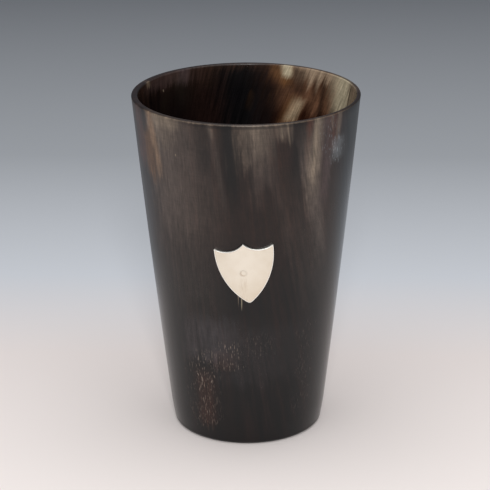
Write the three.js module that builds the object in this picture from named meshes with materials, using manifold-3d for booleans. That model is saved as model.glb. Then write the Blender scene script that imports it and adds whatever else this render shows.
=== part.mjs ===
// A drinking beaker made from a length of ox horn, with a silver shield pinned to its front.
//
// The horn is softened, pressed on a taper mandrel and turned, so the body is one open, slightly
// swelling taper. A turned horn disc is sprung into a groove inside the foot and closes the bottom.
// A shield of sheet silver is bent round the front of the wall and held by one riveted silver pin.
//
// Millimetres, +Z up. The origin is on the table, at the centre of the foot. The shield faces -Y.

import * as THREE from 'three';
import { TessellateModifier } from 'three/addons/modifiers/TessellateModifier.js';
import { mergeVertices } from 'three/addons/utils/BufferGeometryUtils.js';
import Module from 'manifold-3d';

const wasm = await Module();
wasm.setup();

// Outside of the horn body
const HEIGHT = 120;
const RIM_RADIUS = 39.1; // at the mouth
const FOOT_RADIUS = 26.35; // where the plain taper would meet the table
const WALL_SWELL = 0.4; // how far the wall stands out past a straight taper at half height
const TUCK_HEIGHT = 10; // the lowest stretch is drawn in towards the foot
const TUCK_DEPTH = 0.42;
const FOOT_CORNER = 1.4; // worn round outside
const RIM_OUTER_CORNER = 0.5;

// Bore of the horn body: it thins towards the mouth, and is cut a little off the outside's centre
const WALL_AT_FOOT = 3.8;
const WALL_AT_RIM = 1.85;
const BORE_SHIFT_AT_RIM = 0.4; // towards +X
const RIM_INNER_CORNER = 0.6;
const FOOT_INNER_CORNER = 0.5;
const CORNER_SHARE = 0.45; // no round corner takes more than this share of its wall

// Base disc, with a bevelled tongue round its edge that sits in the groove
const DISC_UNDERSIDE = 3.0; // height above the table
const DISC_THICKNESS = 3.2;
const TONGUE_DEPTH = 0.9; // how far it reaches into the wall
const TONGUE_LAND = 1.0; // thickness of the tongue at its edge
const DISC_HOLLOW = 0.45; // both faces are turned hollow by this much at the centre
const DISC_CLEARANCE = 0.1;

// Silver shield, laid out flat, with the pin at its origin
const SHIELD_WIDTH = 19.7;
const SHIELD_CORNER_RISE = 9.4; // from the pin up to the two top corners
const SHIELD_PEAK_RISE = 10.8; // from the pin up to the middle point of the top edge
const SHIELD_TIP_DROP = 11.5; // from the pin down to the tip
const SHIELD_SIDE_BULGE = 2.85; // each side swells this far out from a straight line
const SHIELD_TOP_HOLLOW = 1.85; // each half of the top edge dips this far in
const SHIELD_THICKNESS = 0.7;
const SHIELD_BEVEL = 0.2;
const SHIELD_OFF_PIN = 0.95; // the outline's centre line lies this far to +X of the pin
const SHIELD_TILT = THREE.MathUtils.degToRad(5.5); // leans to its left
const SHIELD_BEDDING = 0.1; // between silver and horn
const SHIELD_FACET = 2.8; // longest facet edge before bending

// Silver pin through the shield and the wall
const PIN_HEIGHT = 67.2; // of its head above the table
const PIN_RADIUS = 0.75;
const PIN_HEAD_FLARE = 0.4; // the countersunk head is wider than the shank by this all round
const PIN_HEAD_DEPTH = 0.4;
const PIN_HEAD_CROWN = 0.12; // filed almost level, it stands this proud of the silver
const BURR_FLARE = 0.75; // the end hammered over inside the beaker
const BURR_HEIGHT = 0.8;
const PIN_CLEARANCE = 0.1;

// Fineness of the facets
const ROUND_SEGMENTS = 96;
const PIN_SEGMENTS = 32;
const WALL_STEPS = 7;
const TUCK_STEPS = 3;
const CORNER_STEPS = 4;
const SMALL_CORNER_STEPS = 3;
const HOLLOW_STEPS = 4;
const OUTLINE_STEPS = 12;

const horn = new THREE.MeshStandardMaterial({ color: '#3b322d', roughness: 0.36, metalness: 0 });
const baseHorn = new THREE.MeshStandardMaterial({ color: '#2b2421', roughness: 0.42, metalness: 0 });
const silver = new THREE.MeshStandardMaterial({ color: '#e3d8c6', roughness: 0.38, metalness: 1 });

// Radius of the outside of the wall at height z.
function outerRadius(z) {
  const up = z / HEIGHT;
  const taper = THREE.MathUtils.lerp(FOOT_RADIUS, RIM_RADIUS, up);
  const tuck = TUCK_DEPTH * Math.max(0, 1 - z / TUCK_HEIGHT) ** 2;
  return taper + 4 * WALL_SWELL * up * (1 - up) - tuck;
}

// Radius of the bore at height z. It ignores the tuck, which is only on the outside.
function boreRadius(z) {
  const up = z / HEIGHT;
  const taper = THREE.MathUtils.lerp(FOOT_RADIUS - WALL_AT_FOOT, RIM_RADIUS - WALL_AT_RIM, up);
  return taper + 4 * WALL_SWELL * up * (1 - up);
}

// Heights from a to b in equal steps, both ends included.
function steps(a, b, count) {
  return Array.from({ length: count + 1 }, (_, i) => THREE.MathUtils.lerp(a, b, i / count));
}

// Points of a quarter round between two directions given in degrees, about centre (r, z).
function roundCorner(r, z, radius, fromDegrees, toDegrees, count) {
  return steps(fromDegrees, toDegrees, count).map((degrees) => {
    const a = THREE.MathUtils.degToRad(degrees);
    return new THREE.Vector2(r + radius * Math.cos(a), z + radius * Math.sin(a));
  });
}

// Edge of the base disc from its underside to its top, or of the groove that holds it:
// bevel out, land, bevel in. The groove is the disc's edge set out by the clearance.
function tongueProfile(outset) {
  const top = DISC_UNDERSIDE + DISC_THICKNESS;
  const middle = (DISC_UNDERSIDE + top) / 2;
  const tip = boreRadius(middle) + TONGUE_DEPTH;
  return [
    new THREE.Vector2(boreRadius(DISC_UNDERSIDE) + outset, DISC_UNDERSIDE),
    new THREE.Vector2(tip + outset, middle - TONGUE_LAND / 2),
    new THREE.Vector2(tip + outset, middle + TONGUE_LAND / 2),
    new THREE.Vector2(boreRadius(top) + outset, top),
  ];
}

// A closed geometry as a solid that can be joined and cut.
function solidOf(geometry) {
  const bare = geometry.clone();
  bare.deleteAttribute('normal');
  bare.deleteAttribute('uv');
  const merged = mergeVertices(bare, 1e-4);
  const vertProperties = merged.getAttribute('position').array;
  const triVerts = new Uint32Array(merged.getIndex().array);
  return new wasm.Manifold(new wasm.Mesh({ numProp: 3, vertProperties, triVerts }));
}

// A solid back as a geometry.
function geometryOf(solid) {
  const { numProp, vertProperties, triVerts } = solid.getMesh();
  const interleaved = new THREE.InterleavedBuffer(vertProperties, numProp);
  const geometry = new THREE.BufferGeometry();
  geometry.setAttribute('position', new THREE.InterleavedBufferAttribute(interleaved, 3, 0));
  geometry.setIndex(new THREE.BufferAttribute(triVerts, 1));
  const flat = geometry.toNonIndexed();
  flat.computeVertexNormals();
  return flat;
}

// Turned horn body: a closed profile spun about Z, with the bore's points moved off centre
// in proportion to their height above the base disc.
function turnedBody() {
  const discTop = DISC_UNDERSIDE + DISC_THICKNESS;
  const footOut = Math.min(FOOT_CORNER, WALL_AT_FOOT * CORNER_SHARE);
  const footIn = Math.min(FOOT_INNER_CORNER, WALL_AT_FOOT * CORNER_SHARE);
  const rimOut = Math.min(RIM_OUTER_CORNER, WALL_AT_RIM * CORNER_SHARE);
  const rimIn = Math.min(RIM_INNER_CORNER, WALL_AT_RIM * CORNER_SHARE);
  const wallPoint = (z) => new THREE.Vector2(outerRadius(z), z);
  const borePoint = (z) => new THREE.Vector2(boreRadius(z), z);

  const outside = [
    ...roundCorner(outerRadius(footOut) - footOut, footOut, footOut, -90, 0, CORNER_STEPS),
    ...steps(footOut, TUCK_HEIGHT, TUCK_STEPS).slice(1).map(wallPoint),
    ...steps(TUCK_HEIGHT, HEIGHT - rimOut, WALL_STEPS).slice(1, -1).map(wallPoint),
    ...roundCorner(outerRadius(HEIGHT) - rimOut, HEIGHT - rimOut, rimOut, 0, 90, SMALL_CORNER_STEPS),
  ];
  const bore = [
    ...roundCorner(boreRadius(HEIGHT) + rimIn, HEIGHT - rimIn, rimIn, 90, 180, SMALL_CORNER_STEPS),
    ...steps(HEIGHT - rimIn, discTop, WALL_STEPS).slice(1, -1).map(borePoint),
    ...tongueProfile(DISC_CLEARANCE).reverse(),
    ...roundCorner(boreRadius(footIn) + footIn, footIn, footIn, 180, 270, SMALL_CORNER_STEPS),
  ];
  const profile = [...outside, ...bore, outside[0]];
  const geometry = new THREE.LatheGeometry(profile, ROUND_SEGMENTS).rotateX(Math.PI / 2);

  const position = geometry.getAttribute('position');
  for (let i = 0; i < position.count; i++) {
    const place = i % profile.length;
    const inBore = place >= outside.length && place < profile.length - 1;
    const above = Math.max(0, (position.getZ(i) - discTop) / (HEIGHT - discTop));
    if (inBore) position.setX(i, position.getX(i) + BORE_SHIFT_AT_RIM * above);
  }
  return geometry;
}

// Base disc: hollow faces and a bevelled tongue.
function baseDisc() {
  const edge = tongueProfile(0);
  const hollow = (rim, sign) => (share) =>
    new THREE.Vector2(rim.x * share, rim.y + sign * DISC_HOLLOW * (1 - share ** 2));
  const shares = steps(0, 1, HOLLOW_STEPS).slice(0, -1);
  const underside = shares.map(hollow(edge[0], 1));
  const top = shares.map(hollow(edge.at(-1), -1)).reverse();
  return new THREE.LatheGeometry([...underside, ...edge, ...top], ROUND_SEGMENTS).rotateX(Math.PI / 2);
}

// Adds to a path the arc from its current point to (x, y) that stands off the straight line
// between them by the given bulge: to the right of the way there, or to its left if negative.
function arcTo(path, x, y, bulge) {
  const from = path.currentPoint.clone();
  const to = new THREE.Vector2(x, y);
  const half = from.distanceTo(to) / 2;
  const radius = (half ** 2 + bulge ** 2) / (2 * bulge);
  const left = to.clone().sub(from).normalize().rotateAround(new THREE.Vector2(), Math.PI / 2);
  const centre = from.clone().lerp(to, 0.5).addScaledVector(left, radius - bulge);
  const start = from.sub(centre).angle();
  const end = to.sub(centre).angle();
  path.absarc(centre.x, centre.y, Math.abs(radius), start, end, bulge < 0);
}

// The shield's outline, flat and upright, seen from the front.
function shieldOutline() {
  const half = SHIELD_WIDTH / 2;
  const outline = new THREE.Shape();
  outline.moveTo(0, -SHIELD_TIP_DROP);
  arcTo(outline, half, SHIELD_CORNER_RISE, SHIELD_SIDE_BULGE);
  arcTo(outline, 0, SHIELD_PEAK_RISE, -SHIELD_TOP_HOLLOW);
  arcTo(outline, -half, SHIELD_CORNER_RISE, -SHIELD_TOP_HOLLOW);
  arcTo(outline, 0, -SHIELD_TIP_DROP, SHIELD_SIDE_BULGE);
  return outline;
}

// Slope of the wall at the pin: how far it leans out from upright.
const pinSlope = Math.atan(outerRadius(PIN_HEIGHT + 0.5) - outerRadius(PIN_HEIGHT - 0.5));

// Carries a flat point (across, up, out), measured from the pin, on to the outside of the wall.
function bendOnWall(point) {
  const z = PIN_HEIGHT + point.y * Math.cos(pinSlope);
  const around = point.x / outerRadius(z);
  const r = outerRadius(z) + point.z * Math.cos(pinSlope);
  return point.set(r * Math.sin(around), -r * Math.cos(around), z - point.z * Math.sin(pinSlope));
}

// Sheet silver: cut flat, its front edge bevelled, then bent round the wall.
function bentShield() {
  const flat = new THREE.ExtrudeGeometry(shieldOutline(), {
    depth: SHIELD_THICKNESS - SHIELD_BEVEL,
    bevelThickness: SHIELD_BEVEL,
    bevelSize: SHIELD_BEVEL,
    bevelOffset: -SHIELD_BEVEL,
    bevelSegments: 1,
    curveSegments: OUTLINE_STEPS,
  });
  flat.translate(SHIELD_OFF_PIN, 0, 0).rotateZ(SHIELD_TILT);
  const fine = new TessellateModifier(SHIELD_FACET, 12).modify(flat);
  const position = fine.getAttribute('position');
  const point = new THREE.Vector3();
  for (let i = 0; i < position.count; i++) {
    point.fromBufferAttribute(position, i);
    point.z = Math.max(0, point.z) + SHIELD_BEDDING; // the back stays flat, without a bevel
    position.setXYZ(i, ...bendOnWall(point));
  }
  return fine;
}

const SILVER_FRONT = SHIELD_BEDDING + SHIELD_THICKNESS;

// Length of the pin's way through the wall, along the wall's normal.
function wallAlongPin() {
  let through = WALL_AT_RIM;
  for (let i = 0; i < 6; i++) {
    const z = PIN_HEIGHT + through * Math.sin(pinSlope);
    through = (outerRadius(PIN_HEIGHT) - boreRadius(z)) / Math.cos(pinSlope);
  }
  return through;
}

// Quarter of an ellipse from the axis out to the given radius, or back in to it, for a low dome.
function domeProfile(radius, base, rise, fromDegrees, toDegrees, count) {
  return steps(fromDegrees, toDegrees, count).map((degrees) => {
    const a = THREE.MathUtils.degToRad(degrees);
    const onAxis = Math.abs(degrees) === 90;
    return new THREE.Vector2(onAxis ? 0 : radius * Math.cos(a), base + rise * Math.sin(a));
  });
}

// The pin, spun about its own Y, which points out of the wall; y is 0 at the wall's outside.
// The hammered end's flat side clears the hollow of the bore right out to its edge.
function pinGeometry() {
  const burr = PIN_RADIUS + BURR_FLARE;
  const seat = PIN_CLEARANCE + burr ** 2 / (2 * boreRadius(PIN_HEIGHT));
  const burrTop = -wallAlongPin() - seat;
  const head = PIN_RADIUS + PIN_HEAD_FLARE;
  return new THREE.LatheGeometry([
    ...domeProfile(burr, burrTop, BURR_HEIGHT, -90, 0, CORNER_STEPS),
    new THREE.Vector2(PIN_RADIUS, burrTop),
    new THREE.Vector2(PIN_RADIUS, SILVER_FRONT - PIN_HEAD_DEPTH),
    ...domeProfile(head, SILVER_FRONT, PIN_HEAD_CROWN, 0, 90, SMALL_CORNER_STEPS),
  ], PIN_SEGMENTS);
}

// Drill and countersink for the pin. The countersink's cone runs on past the silver's front.
function pinDrill() {
  const past = 1;
  const spread = PIN_HEAD_FLARE / PIN_HEAD_DEPTH;
  const hole = PIN_RADIUS + PIN_CLEARANCE;
  const inner = -wallAlongPin() - past;
  return new THREE.LatheGeometry([
    new THREE.Vector2(0, inner),
    new THREE.Vector2(hole, inner),
    new THREE.Vector2(hole, SILVER_FRONT - PIN_HEAD_DEPTH),
    new THREE.Vector2(hole + (PIN_HEAD_DEPTH + past) * spread, SILVER_FRONT + past),
    new THREE.Vector2(0, SILVER_FRONT + past),
  ], PIN_SEGMENTS);
}

function named(name, geometry, material) {
  const mesh = new THREE.Mesh(geometry, material);
  mesh.name = name;
  return mesh;
}

const pin = named('shield_pin', pinGeometry(), silver);
pin.position.set(0, -outerRadius(PIN_HEIGHT), PIN_HEIGHT);
pin.rotation.x = Math.PI + pinSlope;
pin.updateMatrix();

const drill = solidOf(pinDrill().applyMatrix4(pin.matrix));
const body = named('horn_body', geometryOf(solidOf(turnedBody()).subtract(drill)), horn);
const disc = named('base_disc', baseDisc(), baseHorn);
const shield = named('silver_shield', geometryOf(solidOf(bentShield()).subtract(drill)), silver);

const beaker = new THREE.Group();
beaker.add(body, disc, shield, pin);

export default beaker;
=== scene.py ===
"""A horn beaker with a small silver shield, dressed around its packed construction model."""

import math

import bpy
import numpy as np
from mathutils import Matrix, Vector


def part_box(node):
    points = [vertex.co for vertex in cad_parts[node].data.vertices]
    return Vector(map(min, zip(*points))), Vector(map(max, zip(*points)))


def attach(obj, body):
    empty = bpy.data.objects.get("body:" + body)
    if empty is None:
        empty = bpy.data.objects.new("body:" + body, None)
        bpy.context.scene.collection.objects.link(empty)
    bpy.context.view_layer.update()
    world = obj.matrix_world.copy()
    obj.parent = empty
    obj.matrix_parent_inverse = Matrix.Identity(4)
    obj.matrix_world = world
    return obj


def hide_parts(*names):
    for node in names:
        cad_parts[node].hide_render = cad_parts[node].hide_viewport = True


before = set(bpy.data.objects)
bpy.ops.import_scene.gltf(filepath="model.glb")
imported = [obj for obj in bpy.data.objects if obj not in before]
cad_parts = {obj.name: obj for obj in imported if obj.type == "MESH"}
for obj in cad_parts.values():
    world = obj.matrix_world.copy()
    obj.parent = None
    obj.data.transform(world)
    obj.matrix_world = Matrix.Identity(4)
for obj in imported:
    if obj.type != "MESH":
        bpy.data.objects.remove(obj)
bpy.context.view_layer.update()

bl_info = {
    "name": "Horn Beaker",
    "version": (1, 0, 0),
    "blender": (4, 5, 0),
    "location": "3D View > Sidebar > Beaker",
    "description": "Builds a pressed and turned horn beaker with a pinned silver shield",
    "category": "Add Mesh",
}

MM = 0.001
BODY_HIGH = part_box("horn_body")[1]

# Kinds of node that are used often, and what a Mix node is added with to mix colours.
MATH = "ShaderNodeMath"
VECTOR_MATH = "ShaderNodeVectorMath"
RANGE = "ShaderNodeMapRange"
NOISE = "ShaderNodeTexNoise"
BUMP = "ShaderNodeBump"
MIX = "ShaderNodeMix"
OF_COLOURS = {"data_type": "RGBA", "out": "Result"}
GEOMETRY = "GeometryNode"

# Turning: points nearer than this are one point, and edges sharper than this stay crisp.
MERGE_DISTANCE = 1e-7
CRISP_ANGLE = math.radians(32)

# The shield's mesh: points round its outline, rings of them on its front and back, steps of its
# bevel, and how fast the bevel may widen along the edge from a corner.
OUTLINE_POINTS = 280
FRONT_RINGS = 18
BACK_RINGS = 10
BEVEL_STEPS = 4
BEVEL_GROWTH = 0.06

# The mesh attribute that is 1 at the shield's edge and falls to 0 at this distance from it.
EDGE = "edge"
EDGE_REACH = 0.6 * MM

# The horn's figure is placed by degrees round from the shield, positive towards +X, and by mm
# above the table. Its fibres run down from the rim askew, most of all on the right: these are the
# level that angles are told at, the fibres' mean lean in degrees to a mm, its swing either way,
# and the angle at which it is the mean.
RIM_LEVEL = 118.0
FIBRE_LEAN = 0.33
FIBRE_LEAN_SWING = 0.33
FIBRE_LEAN_FROM = 45.0

# The radius in mm at which the fibres' spacing is told.
MEAN_RADIUS = 36.0

# What an entry below says of a streak, after its colour.
STREAK_TERMS = ("Angle", "Lean", "Half Width", "Top", "Bottom", "Fade", "Strength")

# One entry to a streak or patch, in the order in which they lie on one another:
# name: (colour, angle at the rim, lean in degrees to a mm down, half width in degrees,
#        top, bottom and length of its fading ends in mm, strength)
FIGURE = {
    # The left veils are partly clouded horn and partly a painted broad reflection down the left
    # side.
    "left veil": ("veil", -45, 0.1, 13, 150, 98, 34, 0.85),
    "left veil's inner side": ("veil", -28, 0.2, 11, 150, 108, 44, 0.42),
    "left low veil": ("veil", -40, 0.15, 16, 82, 60, 20, 0.22),
    "left shoulder": ("tan", -46, 0.1, 8, 150, 114, 9, 0.65),
    "left rim cream": ("cream", -43, 0, 7.5, 150, 117.3, 3, 0.55),
    "left honey patch": ("honey", -58.5, 0.1, 4.5, 111, 100, 7, 0.75),
    "left long streak": ("sand", -53.6, 0.28, 2.4, 150, 106, 12, 0.5),
    "left rim rust": ("rust", -67, 0.05, 6, 150, 107, 10, 0.8),
    "left rim dark": ("black", -60, 0.05, 2.5, 150, 114, 4, 0.6),
    "dark left of centre": ("black", -20, 0.1, 4, 117, 106, 9, 0.5),
    "thin line": ("tan", -15.6, 0.2, 1.4, 150, 118, 4, 0.45),
    "thin line's run": ("veil", -15.6, 0.24, 1.5, 150, 98, 14, 0.2),
    "dark centre": ("black", -7, 0.1, 4, 150, 100, 16, 0.85),
    "patch's tail": ("veil", 5, 0.12, 3.5, 110, 98, 12, 0.15),
    "patch's run": ("veil", 9, 0.1, 6.5, 150, 104, 10, 0.3),
    "patch over shield": ("tan", 6, -0.05, 7.5, 150, 117, 16, 0.72),
    "rim flecks' ground": ("tan", 20.5, 0.15, 3.5, 150, 118, 5, 0.5),
    "rim fleck": ("cream", 19.2, 0.2, 0.5, 150, 116, 3, 0.3),
    "rim fleck two": ("cream", 22.5, 0.25, 0.5, 150, 114.5, 3, 0.3),
    "rim fleck three": ("tan", 24.5, 0.1, 0.5, 150, 115, 3, 0.4),
    "dark right of centre": ("black", 28.5, 0.05, 4, 150, 104, 14, 0.75),
    "right rust edge": ("rust", 34.5, 0, 1.8, 150, 108, 6, 0.8),
    "right swell's run": ("veil", 31, 0.36, 4.5, 104, 80, 18, 0.7),
    "right streak": ("tan", 39.8, 0, 2.8, 150, 104, 6, 0.95),
    "right swell": ("tan", 37.5, 0.05, 4, 106, 99, 13, 0.7),
    "right bright line": ("cream", 38.3, 0, 1.1, 150, 103, 7, 0.5),
    "right far veil": ("veil", 9, 0.4, 3, 98, 80, 12, 0.1),
    "right low veil": ("veil", 26, 0.3, 10, 92, 62, 16, 0.14),
    "right mauve": ("mauve", 46, 0.05, 3.5, 150, 98, 12, 0.6),
    "right rim rust": ("rust", 51.5, 0, 4, 150, 110, 5, 0.7),
    "right rim fleck": ("tan", 54.5, 0, 1.6, 150, 113, 3, 0.7),
    "right rim fleck two": ("tan", 49, 0.1, 1, 150, 116, 3, 0.4),
    "bleached patch": ("pale_blue", 52.5, 0.3, 4.5, 109.5, 105, 3, 0.4),
    # Painted shade darkens the right side of the wall from the rim down.
    "right shaded side": ("black", 72, 0, 12, 150, 60, 20, 1.0),
    "foot patch": ("rust", -29, 0, 7, 24, 10, 6, 0.3),
    "foot patch's arm": ("rust", -14, 0, 7, 35, 31, 3, 0.2),
    "low haze": ("haze", -24, 0, 17, 45, 36, 7, 0.27),
    "low haze's rest": ("haze", 8, 0, 30, 42, 28, 8, 0.08),
    "scratch": ("cream", -3.2, 0, 0.24, 58.8, 57.4, 3.5, 0.55),
    "scratch two": ("clear", -1.3, 0, 0.28, 58.5, 56, 4, 0.5),
    # Painted light on the lip: a shadow line under its front, a highlight along its top that fades
    # towards the back, and shade at its two sides.
    "shadow line under lip": ("black", 2, 0, 30, 119.25, 118.75, 0.4, 0.5),
    "painted lip highlight": ("cream", 0, 0, 100, 150, 119.7, 0.3, 0.3),
    "left lip shade": ("black", -90, 0, 30, 150, 119.7, 0.3, 0.9),
    "right lip shade": ("black", 96, 0, 26, 150, 119.7, 0.3, 0.9),
    "speck": ("cream", -36, 0, 0.3, 107.4, 106.9, 0.3, 0.9),
    # Inside, the clear and amber horn is partly its own colour and partly a painted glow of light
    # through the thin wall.
    "inside ground": ("russet", 140, 0.2, 21, 150, 100, 10, 0.9),
    "inside brown": ("umber", 138, 0.2, 22, 150, 109, 8, 0.85),
    "inside rim brown": ("fawn", 137, 0, 17, 150, 119, 6, 0.75),
    "inside clear wall": ("clear", 116, 0, 8.8, 150, 112, 14, 0.9),
    "inside right end": ("fawn", 100, 0, 7, 150, 104, 8, 0.5),
    "inside thread": ("dark", 107.2, 0.3, 0.8, 118, 108, 2, 0.75),
    "inside dark bar": ("dark", 133, 0.2, 1.8, 114, 80, 4, 0.7),
    "inside dark bar two": ("dark", 140, 0.1, 1.5, 115, 111, 3, 0.5),
    "inside fawn thread": ("fawn", 143, 0.4, 1.2, 150, 115.5, 4, 0.22),
    "inside fawn thread two": ("fawn", 137.5, 0.3, 1.2, 150, 115, 5, 0.4),
    "inside dark veil": ("dark", 151, 0.1, 4, 118, 112, 3, 0.7),
    "inside rim glow": ("amber", 163, 0, 4.5, 150, 117, 4, 0.6),
    "inside amber under rim": ("amber", 159, 0, 3.2, 150, 114, 3, 0.8),
    "inside amber run": ("amber", 146, 0.6, 4.5, 106, 80, 5, 0.8),
    "inside low clear": ("clear", 142.5, 0.78, 3.4, 107, 102, 3.5, 0.34),
    "inside rim clear": ("clear", 158.7, -0.1, 2.7, 150, 117.3, 3, 0.85),
    # Painted shade inside the mouth, at the back and most of all on the left; at these angles it
    # darkens the outside too.
    "inside shaded side": ("black", 168, 0.1, 5, 111, 96, 4, 0.55),
    "inside warm spot": ("honey", 176, 0.35, 1.8, 108, 105, 3, 0.35),
    "inside back shade": ("black", 186, 0, 13, 116.5, 20, 4, 0.9),
    "inside left shade": ("black", 235, 0, 22, 113, 20, 7, 0.75),
    "inside left band": ("mauve", 234, 0, 17, 150, 118, 4, 0.4),
    "inside left streak": ("mauve", 219, 0.4, 3, 150, 117, 4, 0.7),
    "inside left fawn": ("fawn", 249, 0, 2, 150, 119, 2, 0.3),
    # Painted glint in a small pit inside the rim.
    "inside pit glint": ("cream", 235, 0, 0.4, 114.7, 114.3, 0.4, 0.5),
    "back amber's end": ("black", 146, 0.6, 8, 72, 20, 20, 0.95),
    "back low veil": ("veil", 214, 0.2, 13, 58, 42, 24, 0.3),
    "back low rust": ("rust", 158, 0.25, 9, 50, 26, 22, 0.35),
    "back low haze": ("haze", 186, 0.1, 16, 44, 30, 12, 0.16),
}

# Patches of small pits, whose pale colour is painted glints, and of scuffs, laid over the figure
# in the same terms.
SCUFFS = {
    "pits by foot": ("pit", -31, 0, 10, 29, 8, 5, 0.45),
    "pits over foot patch": ("pit", -27, 0, 7, 34, 26, 4, 0.5),
    "pits in centre": ("pit", -10, 0, 7, 39, 31, 3, 0.6),
    "pits right of centre": ("pit", 9, 0, 8, 42, 36, 3, 0.2),
    "pits far right": ("pit", 46, 0, 9, 42, 14, 8, 0.12),
    "pits at back": ("pit", 170, 0, 9, 36, 18, 8, 0.3),
    "bleached scuffs": ("pale_blue", 52, 0.3, 5, 110, 104, 3, 0.8),
    "bleached scuffs two": ("pale_blue", 47, 0.2, 5, 117, 108, 4, 0.5),
}

# The light: name, place in metres, size in metres and power in watts. Each faces the origin.
SOFTBOXES = (
    ("softbox_above", (0.0, -0.1, 2.2), 2.4, 37.0),
    ("softbox_front", (0.14, -2.45, 1.45), 0.5, 40.0),
)

# The floor, in metres: half its side, where it begins to darken towards the back and where it is
# darkest, and how much farther off it does so to the front and the sides.
FLOOR_HALF = 12.0
DARKENS_FROM = -0.06
DARKENS_TO = 0.64
PALE_REACH = 0.35

# Corners of a square about the origin, in turn.
SQUARE = ((-1, -1), (1, -1), (1, 1), (-1, 1))


def linear(colour):
    """An sRGB hex colour as linear red, green, blue and alpha."""
    parts = [int(colour[i : i + 2], 16) / 255 for i in (1, 3, 5)]
    return [p / 12.92 if p <= 0.04045 else ((p + 0.055) / 1.055) ** 2.4 for p in parts] + [1.0]


def add(tree, kind, *values, inputs=None, stops=(), out=0, **settings):
    """Adds a node with its settings, fills or links its inputs, and returns one of its outputs.

    A colour ramp, which starts with two stops, is given at least two, each a position and an
    sRGB hex colour.
    """
    node = tree.nodes.new(kind)
    for name, value in settings.items():
        setattr(node, name, value)
    for key, value in [*enumerate(values), *(inputs or {}).items()]:
        if isinstance(value, bpy.types.NodeSocket):
            tree.links.new(value, node.inputs[key])
        else:
            node.inputs[key].default_value = value
    for i, (position, colour) in enumerate(stops):
        elements = node.color_ramp.elements
        stop = elements[i] if i < 2 else elements.new(position)
        stop.position = position
        stop.color = linear(colour)
    return node if out is None or not node.outputs else node.outputs[out]


def length(name, description, default):
    """A property for a length in metres."""
    return bpy.props.FloatProperty(
        name=name,
        description=description,
        default=default,
        unit="LENGTH",
        subtype="DISTANCE",
        precision=5,
    )


def angle(name, description, default):
    """A property for an angle given in degrees."""
    return bpy.props.FloatProperty(
        name=name,
        description=description,
        default=math.radians(default),
        unit="ROTATION",
        subtype="ANGLE",
    )


def shade(name, description, default):
    """A property for a colour, written as sRGB hex."""
    return bpy.props.StringProperty(name=name, description=description, default=default)


class WallSettings(bpy.types.PropertyGroup):
    """Sizes of the horn wall."""

    height: length("Height", "From the table to the rim", BODY_HIGH.z)
    rim_radius: length("Rim radius", "Outside, at the mouth", BODY_HIGH.x)
    foot_radius: length("Foot radius", "Where the plain taper meets the table", 26.35 * MM)
    swell: length("Swell", "How far the wall stands out past a straight taper", 0.4 * MM)
    tuck_height: length("Tuck height", "The lowest stretch, which is drawn in", 10 * MM)
    tuck_depth: length("Tuck depth", "How far it is drawn in at the table", 0.42 * MM)
    wall_at_foot: length("Wall at foot", "Thickness at the table", 3.8 * MM)
    wall_at_rim: length("Wall at rim", "Thickness at the mouth", 1.85 * MM)
    bore_shift: length("Bore shift", "How far off centre the mouth is, to +X", 0.4 * MM)
    foot_corner: length("Foot corner", "Radius worn round the foot outside", 1.4 * MM)
    lip_outside: length("Lip outside", "Radius of the lip's outer corner", 0.5 * MM)
    lip_inside: length("Lip inside", "Radius of the lip's inner corner", 0.6 * MM)
    foot_inside: length("Foot inside", "Radius of the foot's inner corner", 0.5 * MM)
    ripple: length("Ripple", "Depth of the unevenness that scraping leaves", 0.05 * MM)


class BaseSettings(bpy.types.PropertyGroup):
    """Sizes of the base disc."""

    underside: length("Underside", "Height of its edge above the table", 3.0 * MM)
    thickness: length("Thickness", "At its edge", 3.2 * MM)
    tongue: length("Tongue", "How far its bevelled edge reaches into the wall", 0.9 * MM)
    land: length("Land", "Thickness of the tongue at its edge", 1.0 * MM)
    hollow: length("Hollow", "Depth turned out of each face", 0.45 * MM)
    clearance: length("Clearance", "Between tongue and groove", 0.1 * MM)


class ShieldSettings(bpy.types.PropertyGroup):
    """Sizes of the silver shield, laid flat and measured from its pin."""

    width: length("Width", "Across the top corners", 19.7 * MM)
    corner_rise: length("Corner rise", "Up to the two top corners", 9.4 * MM)
    peak_rise: length("Peak rise", "Up to the middle point of the top edge", 10.8 * MM)
    tip_drop: length("Tip drop", "Down to the tip", 11.5 * MM)
    side_bulge: length("Side bulge", "How far each side swells from a line", 2.85 * MM)
    top_hollow: length("Top hollow", "How far each half of the top edge dips", 1.85 * MM)
    corner_wear: length("Corner wear", "How soft the corners are worn", 0.2 * MM)
    tip_wear: length("Tip wear", "How soft the tip is worn", 0.75 * MM)
    thickness: length("Thickness", "Of the sheet", 0.7 * MM)
    bevel: length("Bevel", "Radius of the filed front edge", 0.15 * MM)
    off_pin: length("Off pin", "Distance of its centre line from the pin", 0.95 * MM)
    bedding: length("Bedding", "Between silver and horn", 0.1 * MM)
    tilt: angle("Tilt", "Lean to its left", 5.5)


class PinSettings(bpy.types.PropertyGroup):
    """Sizes of the pin."""

    height: length("Height", "Of its head above the table", 67.2 * MM)
    radius: length("Radius", "Of the shank", 0.75 * MM)
    head_flare: length("Head flare", "How much wider the sunk head is all round", 0.4 * MM)
    head_depth: length("Head depth", "Of the countersink", 0.4 * MM)
    head_crown: length("Head crown", "How proud of the silver it stands", 0.05 * MM)
    burr_flare: length("Burr flare", "How much wider the hammered end is all round", 0.75 * MM)
    burr_height: length("Burr height", "Of the hammered end", 0.8 * MM)
    clearance: length("Clearance", "Between pin and hole", 0.04 * MM)


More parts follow.
